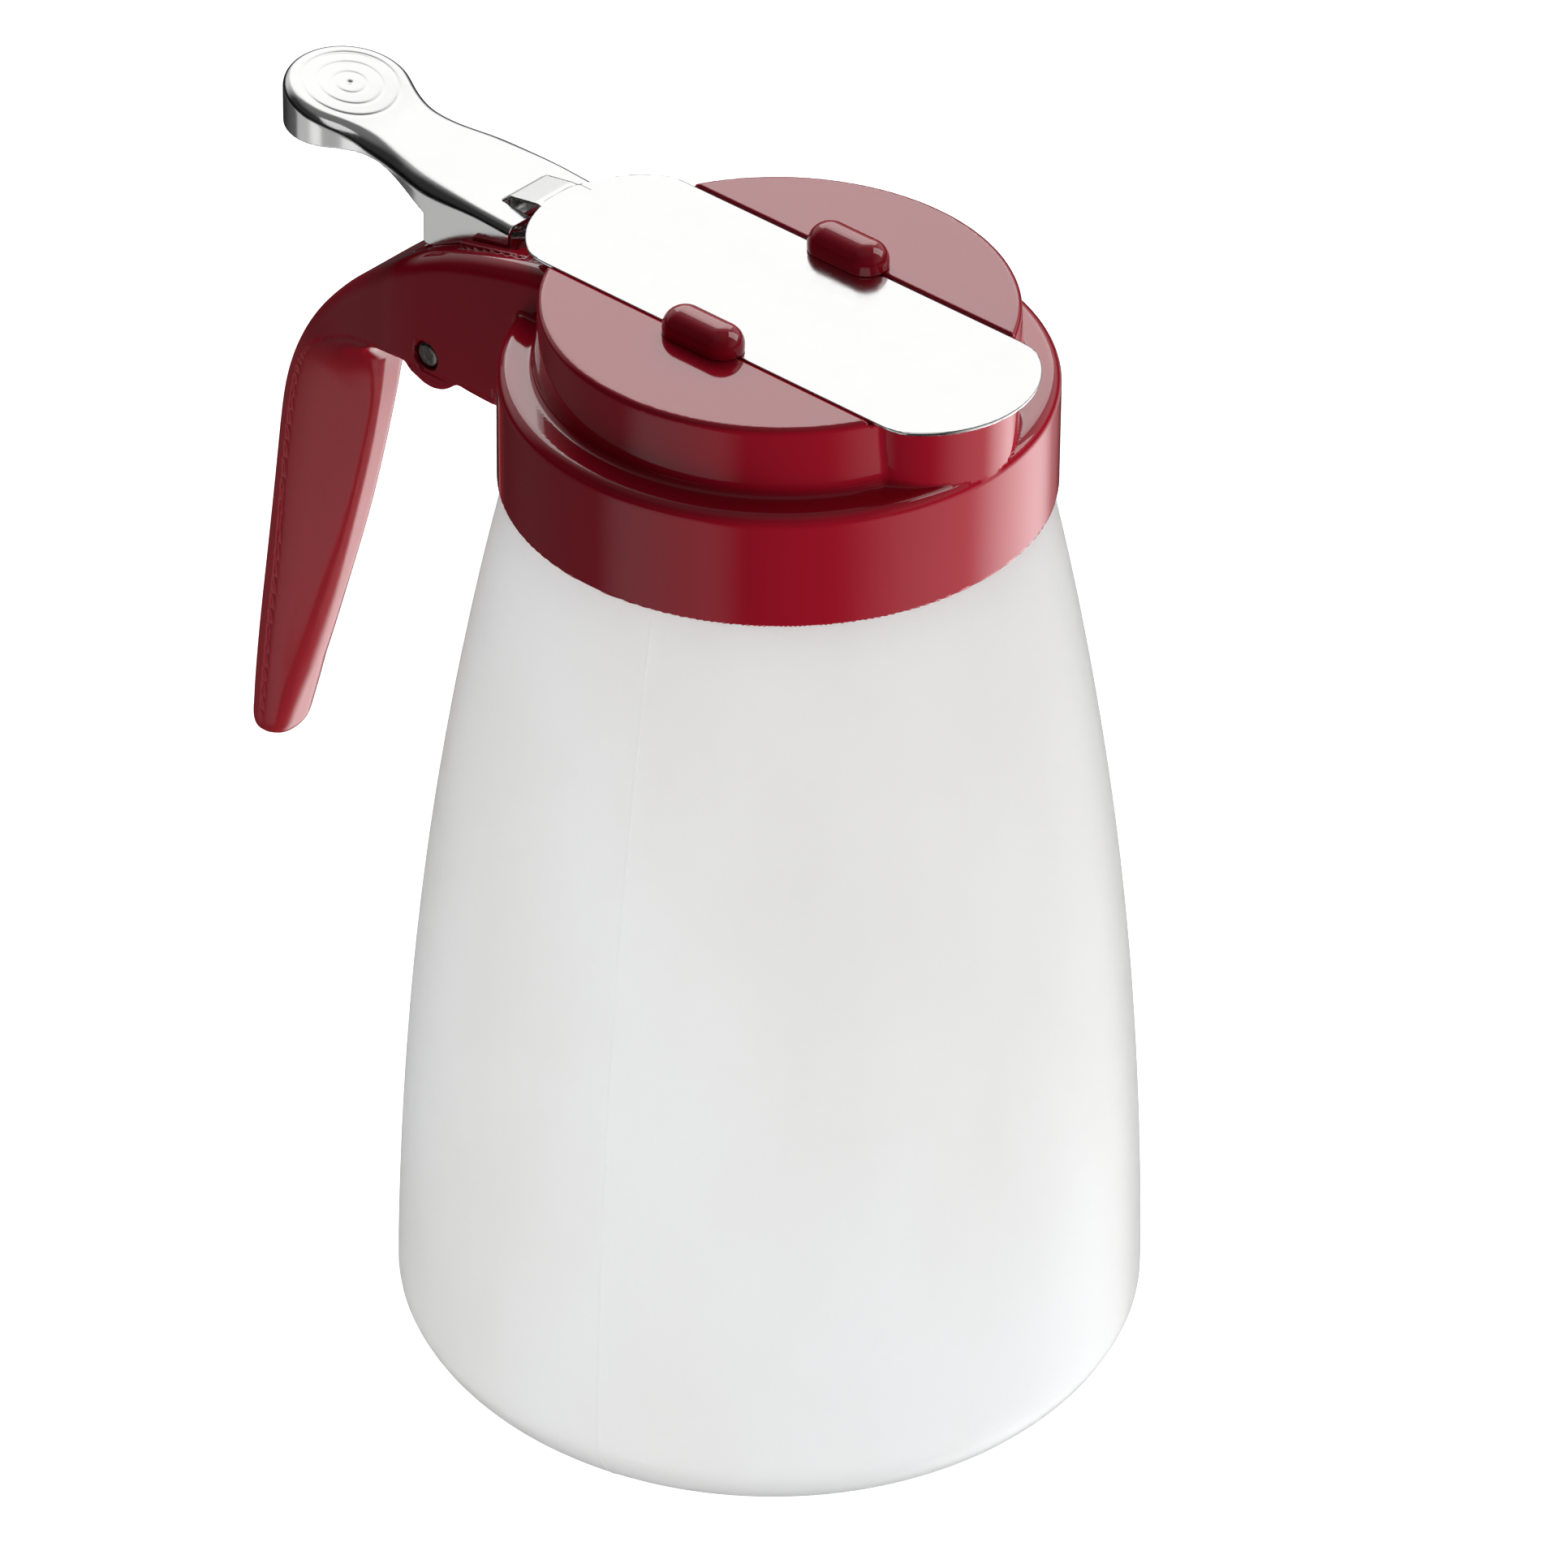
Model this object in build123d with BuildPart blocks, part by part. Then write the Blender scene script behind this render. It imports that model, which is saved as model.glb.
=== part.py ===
from build123d import *
import os

# Syrup dispenser with a screw-on pouring top: a thumb lever on the handle
# draws a steel slide plate back from the pouring opening.
# Millimetres. +Z up, +X the pouring side, handle on -X, origin at the middle
# of the resting face under the jar.

# ---------------------------------------------------------------- dimensions
# jar
wall = 1.6                  # jar wall
base_wall = 2.2             # jar floor
collar_z = 167.2            # bottom edge of the collar above the table
neck_r = 40.0               # neck outside, between the threads
neck_bore_r = 38.4
neck_h = 16.2               # neck top above the collar bottom
pitch = 5.08                # closure thread pitch
thread_h = 1.4

# collar, drum and nose of the pouring top
collar_r = 44.5
collar_h = 20.2
bore_r = 41.75              # collar bore, between its threads
ceiling_h = 17.9
drum_r_low = 38.6
drum_r_top = 38.0
drum_h = 32.2
cavity_r = 36.4
cavity_h = 29.3
channel_half = 17.3
channel_h = 31.35           # channel floor
nose_r = 17.2
nose_x = 27.2
mouth_r = 12.4
mouth_x = 28.6
mouth_back = 32.0

# slide plate
plate_half = 16.6
plate_back = -47.5
plate_front = 48.2
plate_t = 0.6
plate_h = 31.5              # underside of the plate
plate_end_r = 19.0
tab_half = 4.4

# arm, slot and handle
arm_half = 16.2
slot_half = 10.7
slot_back = -69.2
slot_front = -46.2

# thumb lever and its pin
pin_x = -61.3
pin_h = 3.3
pin_r = 2.4
lever_half = 10.2
sheet = 0.9
pad_x = -92.8
pad_r = 10.85

# spring
wire_r = 0.55
coil_r = 3.35

z0 = collar_z               # heights below are given above the collar bottom

os.makedirs("parts", exist_ok=True)

# ----------------------------------------------------------------------- jar
jar_outer = [
    (0.0, 38.87), (0.4, 41.67), (1.0, 44.65), (2.0, 47.61), (3.2, 50.46),
    (4.7, 53.11), (6.4, 55.47), (8.3, 57.48), (10.3, 59.10), (12.3, 60.27),
    (15.2, 61.16), (24.8, 61.00), (46.7, 60.10), (68.6, 58.59), (90.5, 56.39),
    (112.4, 53.45), (134.4, 49.74), (150.8, 46.50), (166.6, 42.97),
]
jar_side = [(r, z) for z, r in jar_outer]
jar_side_low = jar_side[:11]
jar_side_high = jar_side[10:]
jar_in_low = [(37.4, base_wall), (44.2, base_wall + 1.0), (50.6, 5.7),
              (55.4, 9.2), (58.2, 12.6), (59.5, 16.5)]
jar_in_high = [(59.5, 16.5), (59.38, 24.8), (58.46, 46.7), (56.94, 68.6),
               (54.72, 90.5), (51.76, 112.4), (48.02, 134.4),
               (44.76, 150.8), (42.4, 161.6)]

with BuildPart() as jar:
    with BuildSketch(Plane.XZ):
        with BuildLine():
            Polyline((0, base_wall), (0, 0), jar_side[0])
            Spline(*jar_side_low, tangents=[(1, 0.06), (0, 1)])
            Spline(*jar_side_high, tangents=[(0, 1), (-0.225, 1)])
            Polyline(jar_side[-1], (neck_r, z0 - 0.2), (neck_r, z0 + neck_h - 0.6),
                     (neck_r - 0.6, z0 + neck_h), (neck_bore_r, z0 + neck_h),
                     (neck_bore_r, z0 - 2.2), jar_in_high[-1])
            Spline(*reversed(jar_in_high), tangents=[(0.225, -1), (0, -1)])
            Spline(*reversed(jar_in_low), tangents=[(0, -1), (-1, -0.1)])
            Line(jar_in_low[0], (0, base_wall))
        make_face()
    revolve(axis=Axis.Z)

# male thread: a ridge wound on the neck
thread_turns_m = 2.1
with BuildPart() as neck_thread:
    with BuildLine():
        male_path = Helix(pitch=pitch, height=pitch * thread_turns_m,
                          radius=neck_r, center=(0, 0, z0 + 3.0))
    with BuildSketch(Plane(origin=(neck_r, 0, z0 + 3.0), x_dir=(1, 0, 0), z_dir=(0, -1, 0))):
        Polygon((-0.4, -1.45), (thread_h, -0.7), (thread_h, 0.7), (-0.4, 1.45), align=None)
    sweep(path=male_path, is_frenet=True)

with BuildPart() as jar_body:
    add(jar.part)
    add(neck_thread.part)
    fillet(jar_body.edges().filter_by(GeomType.CIRCLE)
           .filter_by(lambda e: abs(e.radius - 42.97) < 0.01), 0.4)

jar_body.part.label = "jar"
export_step(jar_body.part, "parts/jar.step")

# ------------------------------------------------------------- pouring top
arm_top = [(-30.0, 29.6), (-41.1, 27.9), (-49.0, 26.0), (-58.7, 22.9), (-66.0, 19.2),
           (-74.4, 12.7), (-80.4, 7.9), (-86.0, 3.2), (-91.5, -2.2),
           (-97.0, -8.9), (-101.3, -16.6), (-103.6, -25.0)]
arm_under = [(-66.3, 0.1), (-73.0, -1.9), (-79.5, -4.6), (-84.2, -8.4),
             (-86.6, -13.0), (-88.4, -20.0)]

with BuildPart() as arm:
    with BuildSketch(Plane.XZ):
        with BuildLine():
            Spline(*[(x, z0 + z) for x, z in arm_top])
            Polyline((-103.6, z0 - 25.0), (-88.4, z0 - 20.0))
            Spline(*[(x, z0 + z) for x, z in reversed(arm_under)],
                   tangents=[(0.25, 1), (1, 0)])
            Polyline((-66.3, z0 + 0.1), (-30.0, z0 + 0.1), (-30.0, z0 + 29.6))
        make_face()
    extrude(amount=arm_half, both=True)
    with BuildSketch(Plane.XY.offset(z0 - 40)):
        with BuildLine():
            Polyline((-64.0, -arm_half), (-20.0, -arm_half), (-20.0, arm_half), (-64.0, arm_half))
            Spline((-64.0, arm_half), (-70.0, 15.35), (-76.0, 12.9), (-82.0, 10.3),
                   (-88.0, 8.2), (-94.0, 7.0), (-106.0, 6.3), tangents=[(-1, 0), (-1, 0)])
            Line((-106.0, 6.3), (-106.0, -6.3))
            Spline((-106.0, -6.3), (-94.0, -7.0), (-88.0, -8.2), (-82.0, -10.3),
                   (-76.0, -12.9), (-70.0, -15.35), (-64.0, -arm_half), tangents=[(1, 0), (1, 0)])
        make_face()
    extrude(amount=90, mode=Mode.INTERSECT)
    crest = arm.edges().filter_by(lambda e: e.length > 60 and e.center().Z > z0
                                  and abs(e.center().Y) > 2)
    fillet(crest, 3.0)
    # the eye that carries the pin
    with BuildSketch(Plane.XZ):
        with Locations((pin_x + 0.4, z0 + pin_h + 0.1)):
            Circle(6.2)
    extrude(amount=arm_half, both=True)

grip_sections = [
    # height, inner x, outer x, half width, corner
    (-9.0, -83.6, -97.6, 7.6, 3.6),
    (-18.5, -86.4, -103.7, 7.3, 3.9),
    (-30.6, -90.0, -105.2, 7.0, 3.9),
    (-55.6, -97.1, -108.0, 6.6, 3.7),
    (-83.6, -105.2, -113.0, 5.7, 3.0),
    (-95.0, -109.2, -115.4, 4.8, 2.5),
    (-99.4, -111.2, -115.6, 3.2, 1.7),
]
with BuildPart() as grip:
    for h, xi, xo, hw, rc in grip_sections:
        with BuildSketch(Plane(origin=((xi + xo) / 2, 0, z0 + h), x_dir=(1, 0, 0), z_dir=(0, 0, 1))):
            RectangleRounded(xi - xo, 2 * hw, rc)
    loft()
    fillet(grip.faces().sort_by(Axis.Z)[0].edges(), 1.2)

with BuildPart() as female_thread:
    with BuildLine():
        female_path = Helix(pitch=pitch, height=pitch * 2.2, radius=bore_r,
                            center=(0, 0, z0 + 3.0 - pitch / 2))
    with BuildSketch(Plane(origin=(bore_r, 0, z0 + 3.0 - pitch / 2),
                           x_dir=(1, 0, 0), z_dir=(0, -1, 0))):
        Polygon((0.5, -1.45), (0.5, 1.45), (-thread_h, 0.7), (-thread_h, -0.7), align=None)
    sweep(path=female_path, is_frenet=True)

with BuildPart() as top:
    # collar and drum
    with BuildSketch(Plane.XZ) as section:
        with BuildLine():
            Polyline((0, z0), (collar_r, z0), (collar_r, z0 + collar_h),
                     (drum_r_low, z0 + collar_h), (drum_r_top, z0 + drum_h),
                     (0, z0 + drum_h), close=True)
        make_face()
        rim = section.vertices().filter_by(lambda v: abs(v.X - collar_r) < 0.01 and v.Z > z0 + 1)
        fillet(rim, 2.0)
        foot = section.vertices().filter_by(lambda v: abs(v.X - drum_r_low) < 0.01)
        fillet(foot, 1.0)
        brow = section.vertices().filter_by(lambda v: abs(v.X - drum_r_top) < 0.01)
        chamfer(brow, 0.35)
    revolve(axis=Axis.Z)
    # nose
    with BuildSketch(Plane.XY.offset(z0 + ceiling_h)):
        with Locations((nose_x, 0)):
            Circle(nose_r)
    extrude(amount=channel_h - ceiling_h + 0.6)
    # arm and grip
    add(arm.part)
    add(grip.part)
    # channel for the slide plate
    with BuildSketch(Plane.XY.offset(z0 + channel_h)):
        Rectangle(130, 2 * channel_half)
    extrude(amount=10, mode=Mode.SUBTRACT)
    # bore, ceiling and drum cavity
    with BuildSketch(Plane.XZ):
        with BuildLine():
            Polyline((0, z0 - 1), (bore_r + 0.5, z0 - 1), (bore_r + 0.5, z0), (bore_r, z0 + 0.5),
                     (bore_r, z0 + ceiling_h), (cavity_r, z0 + ceiling_h),
                     (cavity_r, z0 + cavity_h - 1.5), (cavity_r - 1.5, z0 + cavity_h),
                     (0, z0 + cavity_h), close=True)
        make_face()
    revolve(axis=Axis.Z, mode=Mode.SUBTRACT)
    # pouring opening, leaning forward into the nose
    with BuildSketch(Plane.XY.offset(z0 + 18.5)) as mouth:
        with Locations((mouth_x - 4.9, 0)):
            Circle(mouth_r)
        with Locations((mouth_back - 4.9 - 20, 0)):
            Rectangle(40, 40, mode=Mode.SUBTRACT)
    extrude(amount=14.5, dir=(4.9, 0, 12.85), mode=Mode.SUBTRACT)
    # lever slot, open above and below
    with BuildSketch(Plane.XY.offset(z0 - 6)):
        with Locations(((slot_back + slot_front) / 2, 0)):
            RectangleRounded(slot_front - slot_back, 2 * slot_half, 1.0)
    extrude(amount=60, mode=Mode.SUBTRACT)
    # short relief between the arm and the collar wall
    with BuildSketch(Plane.XZ):
        Polygon((-46.3, z0 - 1), (-40.0, z0 - 1), (-40.0, z0 + 2.8), (-46.3, z0 + 2.8), align=None)
    relief = extrude(amount=20, both=True, mode=Mode.PRIVATE)
    with BuildSketch(Plane.XY.offset(z0 - 1)):
        Circle(collar_r)
    core = extrude(amount=5, mode=Mode.PRIVATE)
    add(relief - core, mode=Mode.SUBTRACT)
    # pin bore across the arm
    with BuildSketch(Plane.XZ):
        with Locations((pin_x, z0 + pin_h)):
            Circle(pin_r + 0.02)
    extrude(amount=40, both=True, mode=Mode.SUBTRACT)
    # seats for the two guide studs
    with BuildSketch(Plane.XY.offset(z0 + drum_h)):
        with Locations((-0.8, 19.2), (-0.8, -19.2)):
            Circle(1.25)
    extrude(amount=-2.4, mode=Mode.SUBTRACT)
    add(female_thread.part)

top.part.label = "screw_top"
export_step(top.part, "parts/screw_top.step")

# ------------------------------------------------------------- sealing ring
with BuildPart() as seal:
    with BuildSketch(Plane.XZ):
        Polygon((38.2, z0 + neck_h + 0.05), (41.2, z0 + neck_h + 0.05),
                (41.2, z0 + ceiling_h - 0.05), (38.2, z0 + ceiling_h - 0.05), align=None)
    revolve(axis=Axis.Z)
seal.part.label = "sealing_ring"
export_step(seal.part, "parts/sealing_ring.step")

# --------------------------------------------------------------- slide plate
with BuildPart() as plate:
    with BuildSketch(Plane.XY.offset(z0 + plate_h)) as plate_plan:
        Polygon((plate_back, -plate_half), (plate_front, -plate_half),
                (plate_front, plate_half), (plate_back, plate_half), align=None)
        with Locations(((plate_back + plate_end_r + plate_front - plate_end_r) / 2, 0)):
            SlotOverall(plate_front - plate_back, 2 * plate_end_r, mode=Mode.INTERSECT)
        fillet(plate_plan.vertices(), 1.2)
    extrude(amount=plate_t)
    # hook tab: slopes into the lever window, turns down, forward and up again
    with BuildSketch(Plane.XZ) as hook:
        with BuildLine() as hook_line:
            FilletPolyline((-45.6, z0 + 31.8), (-48.0, z0 + 31.8), (-54.1, z0 + 29.5),
                           (-54.1, z0 + 25.5), (-50.9, z0 + 25.5), (-50.9, z0 + 28.6),
                           radius=0.7)
            offset(amount=plate_t / 2, side=Side.BOTH)
        make_face()
    extrude(amount=tab_half, both=True)
plate.part.label = "slide_plate"
export_step(plate.part, "parts/slide_plate.step")

# --------------------------------------------------------------- guide studs
for name, side in (("guide_stud_near", -1), ("guide_stud_far", 1)):
    with BuildPart() as stud:
        with BuildSketch(Plane.XY.offset(z0 + drum_h)):
            with Locations((-0.8, side * 17.0)):
                SlotOverall(15.0, 7.5)
        extrude(amount=4.4)
        fillet(stud.faces().sort_by(Axis.Z)[-1].edges(), 3.4)
        with BuildSketch(Plane.XY.offset(z0 + drum_h)):
            with Locations((-0.8, side * 19.2)):
                Circle(1.25)
        extrude(amount=-2.3)
    stud.part.label = name
    export_step(stud.part, "parts/" + name + ".step")

# --------------------------------------------------------------- thumb lever
lever_top = [(-106.0, 36.4), (-99.0, 35.4), (-92.8, 34.4), (-88.0, 33.3),
             (-83.0, 32.0), (-76.0, 31.0), (-67.0, 30.6), (-57.0, 30.2), (-48.5, 29.7)]
skirt = [(-67.4, 24.8), (-71.2, 26.4), (-74.3, 27.4), (-77.3, 28.2),
         (-80.5, 28.6), (-85.6, 28.4), (-92.0, 27.9), (-106.0, 27.2)]


def lever_outline(inset, front):
    """Outline of the lever seen from above, drawn in by inset."""
    r = pad_r - inset
    neck = (pad_x + 0.5 * r, 0.866 * r)
    side = [(-64.0, lever_half - inset), (-69.0, lever_half - 0.35 - inset),
            (-74.6, lever_half - 1.5 - inset), (-80.0, lever_half - 2.2 - inset), neck]
    other = [(x, -y) for x, y in reversed(side)]
    with BuildLine() as outline:
        Line((front, side[0][1]), side[0])
        Spline(*side, tangents=[(-1, 0), (-0.866, 0.5)])
        ThreePointArc(neck, (pad_x - r, 0), other[0])
        Spline(*other, tangents=[(0.866, 0.5), (1, 0)])
        Polyline(other[-1], (front, -side[0][1]), (front, side[0][1]))
    return outline.line.edges()


with BuildPart() as lever_core:
    with BuildSketch(Plane.XY.offset(z0 - 10)):
        make_face(lever_outline(sheet, -44.0))
    extrude(amount=60)
    with BuildSketch(Plane.XZ):
        with BuildLine():
            Spline(*[(x, z0 + z - sheet) for x, z in lever_top[:-1]], (-44.0, z0 + 29.45 - sheet))
            Polyline((-44.0, z0 + 29.45 - sheet), (-44.0, z0 - 8.0), (-106.0, z0 - 8.0),
                     (-106.0, z0 + 36.4 - sheet))
        make_face()
    extrude(amount=20, both=True, mode=Mode.INTERSECT)
    fillet(lever_core.edges().filter_by(lambda e: e.center().Z > z0 + 26
                                        and e.center().X < -45
                                        and e.bounding_box().size.Z < 8), 0.9)

with BuildPart() as lever:
    with BuildSketch(Plane.XY.offset(z0 - 10)):
        make_face(lever_outline(0, -48.5))
    extrude(amount=60)
    with BuildSketch(Plane.XZ):
        with BuildLine():
            Spline(*[(x, z0 + z) for x, z in lever_top])
            Polyline((-48.5, z0 + 29.7), (-48.9, z0 + 23.4), (pin_x + 4.4, z0 + pin_h + 1.4))
            ThreePointArc((pin_x + 4.4, z0 + pin_h + 1.4), (pin_x, z0 + pin_h - 4.6),
                          (pin_x - 4.4, z0 + pin_h + 1.4))
            Polyline((pin_x - 4.4, z0 + pin_h + 1.4), (pin_x - 3.4, z0 + pin_h + 8.0),
                     (pin_x + 1.2, z0 + pin_h + 16.6), (-67.4, z0 + 19.2), (-67.4, z0 + 24.8))
            Spline(*[(x, z0 + z) for x, z in skirt], tangents=[(-0.9, 0.44), (-1, -0.05)])
            Line((-106.0, z0 + 27.2), (-106.0, z0 + 36.4))
        make_face()
    extrude(amount=20, both=True, mode=Mode.INTERSECT)
    fillet(lever.edges().filter_by(lambda e: e.center().Z > z0 + 29.6
                                   and e.center().X < -49
                                   and e.bounding_box().max.X < -48.4), 1.7)
    add(lever_core.part, mode=Mode.SUBTRACT)
    # window for the hook tab, open to the front
    with BuildSketch(Plane.XY.offset(z0 + 26)):
        Polygon((-55.0, -5.0), (-47.0, -5.0), (-47.0, 5.0), (-55.0, 5.0), align=None)
    extrude(amount=8, mode=Mode.SUBTRACT)
    # dropped bridge across the front of the window
    with BuildSketch(Plane.YZ.offset(-50.0)):
        with BuildLine():
            Polyline((-5.0, z0 + 29.2), (-5.0, z0 + 25.9), (5.0, z0 + 25.9), (5.0, z0 + 29.2),
                     (5.9, z0 + 29.2), (5.9, z0 + 25.0), (-5.9, z0 + 25.0), (-5.9, z0 + 29.2),
                     close=True)
        make_face()
    extrude(amount=1.2)
    # pin holes
    with BuildSketch(Plane.XZ):
        with Locations((pin_x, z0 + pin_h)):
            Circle(pin_r + 0.06)
    extrude(amount=40, both=True, mode=Mode.SUBTRACT)
    # rings pressed into the thumb pad
    with BuildSketch(Plane(origin=(pad_x, 0, z0 + 34.4 + 1.2), x_dir=(0.98, 0, -0.17),
                           z_dir=(0.17, 0, 0.98))):
        for radius in (8.0, 5.35, 2.65):
            Circle(radius + 0.2)
            Circle(radius - 0.2, mode=Mode.SUBTRACT)
        Circle(0.5)
    extrude(amount=-1.45, mode=Mode.SUBTRACT)

lever.part.label = "thumb_lever"
export_step(lever.part, "parts/thumb_lever.step")

# ----------------------------------------------------------------- pivot pin
with BuildPart() as pin:
    with BuildSketch(Plane.XZ):
        with Locations((pin_x, z0 + pin_h)):
            Circle(pin_r)
    extrude(amount=arm_half - 0.3, both=True)
    fillet(pin.edges().filter_by(GeomType.CIRCLE), 0.7)
pin.part.label = "pivot_pin"
export_step(pin.part, "parts/pivot_pin.step")

# ------------------------------------------------------------ return spring
# one wire: two coils on the pin, a loop under the lever, two feet in front
coil_y = 3.5
coil_w = 3.9
coil_low = z0 + pin_h - coil_r
with BuildPart() as spring:
    with BuildLine():
        coil = Helix(pitch=coil_w / 3, height=coil_w, radius=coil_r,
                     center=(pin_x, -coil_y, z0 + pin_h), direction=(0, -1, 0))
    with BuildSketch(Plane(origin=coil @ 0, z_dir=coil % 0)):
        Circle(wire_r)
    sweep(path=coil, is_frenet=True)
    with BuildLine(Plane.XZ.offset(coil_y + coil_w)):
        foot = FilletPolyline((pin_x, coil_low), (pin_x + 5.6, coil_low), (-53.2, z0 + 25.25),
                              (-46.95, z0 + 28.0), radius=2.0)
    with BuildSketch(Plane(origin=foot @ 0, z_dir=foot % 0)):
        Circle(wire_r)
    sweep(path=foot)
    with BuildLine(Plane.XZ.offset(coil_y)):
        reach = FilletPolyline((pin_x, coil_low), (pin_x - 4.6, coil_low), (-66.2, z0 + 29.0),
                               radius=2.0)
    with BuildSketch(Plane(origin=reach @ 0, z_dir=reach % 0)):
        Circle(wire_r)
    sweep(path=reach)
    with BuildSketch(Plane.XZ):
        with Locations((-66.2, z0 + 29.0)):
            Circle(wire_r)
    extrude(amount=coil_y)
    with Locations((-66.2, -coil_y, z0 + 29.0)):
        Sphere(wire_r)
    mirror(about=Plane.XZ)
spring.part.label = "return_spring"
export_step(spring.part, "parts/return_spring.step")
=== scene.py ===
import math

import bpy
import bmesh
import numpy as np
from mathutils import Matrix, Vector


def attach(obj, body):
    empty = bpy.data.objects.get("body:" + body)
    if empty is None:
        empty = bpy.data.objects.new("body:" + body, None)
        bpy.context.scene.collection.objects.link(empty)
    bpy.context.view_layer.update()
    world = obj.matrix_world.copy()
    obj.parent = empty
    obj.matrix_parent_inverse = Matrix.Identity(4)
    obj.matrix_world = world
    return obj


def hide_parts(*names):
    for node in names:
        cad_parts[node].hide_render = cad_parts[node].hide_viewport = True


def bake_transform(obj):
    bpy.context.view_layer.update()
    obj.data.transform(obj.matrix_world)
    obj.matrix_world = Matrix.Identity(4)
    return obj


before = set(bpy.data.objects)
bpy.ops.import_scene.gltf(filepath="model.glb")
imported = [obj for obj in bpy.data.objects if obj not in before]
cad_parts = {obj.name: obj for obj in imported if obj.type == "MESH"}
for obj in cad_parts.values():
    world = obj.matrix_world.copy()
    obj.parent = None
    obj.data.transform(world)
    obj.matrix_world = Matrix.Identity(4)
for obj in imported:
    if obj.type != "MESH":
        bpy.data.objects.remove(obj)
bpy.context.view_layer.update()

Z0 = 167.2          # collar bottom above the table, mm; field heights are above it
COARSE = 1.0
TAU = 2 * math.pi


# ------------------------------------------------------------------ mesh code
def smooth(a, b, t):
    u = np.clip((t - a) / (b - a), 0, 1)
    return u * u * (3 - 2 * u)


def rint(r, *parts):
    """Intersection of solids with its edges rounded to r."""
    m = parts[0]
    q = np.maximum(parts[0] + r, 0) ** 2
    for a in parts[1:]:
        m = np.maximum(m, a)
        q = q + np.maximum(a + r, 0) ** 2
    return np.minimum(m, -r) + np.sqrt(q)


def runi(r, *parts):
    """Union of solids with its inner corners filled to r."""
    return -rint(r, *[-a for a in parts])


class Curve:
    """Smooth plane curve through points; dist() is positive on its left."""

    def __init__(self, pts, t0=None, t1=None, step=0.05, every=2.0):
        p = np.array(pts, float)
        n = len(p)
        h = np.hypot(*np.diff(p, axis=0).T)
        a, rhs = np.zeros((n, n)), np.zeros((n, 2))
        for i in range(1, n - 1):
            a[i, i - 1], a[i, i], a[i, i + 1] = 1 / h[i - 1], 2 / h[i - 1] + 2 / h[i], 1 / h[i]
            rhs[i] = 3 * ((p[i] - p[i - 1]) / h[i - 1] ** 2 + (p[i + 1] - p[i]) / h[i] ** 2)
        if t0 is None:
            a[0, 0], a[0, 1], rhs[0] = 2 / h[0], 1 / h[0], 3 * (p[1] - p[0]) / h[0] ** 2
        else:
            a[0, 0], rhs[0] = 1, np.array(t0) / np.hypot(*t0)
        if t1 is None:
            a[-1, -1], a[-1, -2], rhs[-1] = 2 / h[-1], 1 / h[-1], 3 * (p[-1] - p[-2]) / h[-1] ** 2
        else:
            a[-1, -1], rhs[-1] = 1, np.array(t1) / np.hypot(*t1)
        m = np.linalg.solve(a, rhs)
        out = []
        for i in range(n - 1):
            k = max(4, int(h[i] / (step * 0.5)))
            s = (np.arange(k) / k)[:, None]
            out.append((2 * s**3 - 3 * s**2 + 1) * p[i] + (s**3 - 2 * s**2 + s) * h[i] * m[i]
                       + (3 * s**2 - 2 * s**3) * p[i + 1] + (s**3 - s**2) * h[i] * m[i + 1])
        q = np.vstack(out + [p[-1:]])
        u = np.r_[0, np.cumsum(np.hypot(*np.diff(q, axis=0).T))]
        self.n = int(u[-1] / step)
        self.step = u[-1] / self.n
        self.length = u[-1]
        even = np.linspace(0, u[-1], self.n + 1)
        self.p = np.stack([np.interp(even, u, q[:, 0]), np.interp(even, u, q[:, 1])], 1)
        t = np.gradient(self.p, axis=0)
        self.t = t / np.hypot(t[:, 0], t[:, 1])[:, None]
        self.k = max(1, int(every / self.step))
        self.c = self.p[:: self.k]

    def at(self, s):
        e = np.clip(s, 0, self.length)
        i = np.minimum((e / self.step).astype(int), self.n - 1)
        w = (e / self.step - i)[:, None]
        p = self.p[i] * (1 - w) + self.p[i + 1] * w
        t = self.t[i] * (1 - w) + self.t[i + 1] * w
        return p + (s - e)[:, None] * t, t

    def dist(self, x, y):
        q = np.stack([x, y], 1)
        d = (x[:, None] - self.c[:, 0]) ** 2 + (y[:, None] - self.c[:, 1]) ** 2
        s = d.argmin(1) * self.k * self.step
        for _ in range(3):
            p, t = self.at(s)
            s = s + np.clip(((q - p) * t).sum(1), -2.5, 2.5)
            if _ == 0:
                far = (s < 0) | (s > self.length)
                p, t = self.at(s)
                s = np.where(far, s + ((q - p) * t).sum(1), s)
        p, t = self.at(s)
        e = q - p
        return e[:, 1] * t[:, 0] - e[:, 0] * t[:, 1]


def table(xs, ys):
    """A smooth function of one variable through the given values."""
    order = np.argsort(xs)
    c = Curve([(xs[i], ys[i]) for i in order], step=0.1)
    keep = np.r_[True, np.diff(np.maximum.accumulate(c.p[:, 0])) > 1e-6]
    return lambda x: np.interp(x, c.p[keep, 0], c.p[keep, 1])


def polygon(x, y, pts):
    """Signed distance to a closed outline, negative inside."""
    p = np.array(pts, float)
    d = np.full(len(x), 1e9)
    inside = np.zeros(len(x), bool)
    for a, b in zip(p, np.roll(p, -1, axis=0)):
        e = b - a
        wx, wy = x - a[0], y - a[1]
        t = np.clip((wx * e[0] + wy * e[1]) / (e @ e), 0, 1)
        d = np.minimum(d, (wx - t * e[0]) ** 2 + (wy - t * e[1]) ** 2)
        c = (a[1] > y) != (b[1] > y)
        if abs(e[1]) > 1e-12:
            inside ^= c & (x < e[0] * (y - a[1]) / e[1] + a[0])
    d = np.sqrt(d)
    return np.where(inside, -d, d)


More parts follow.
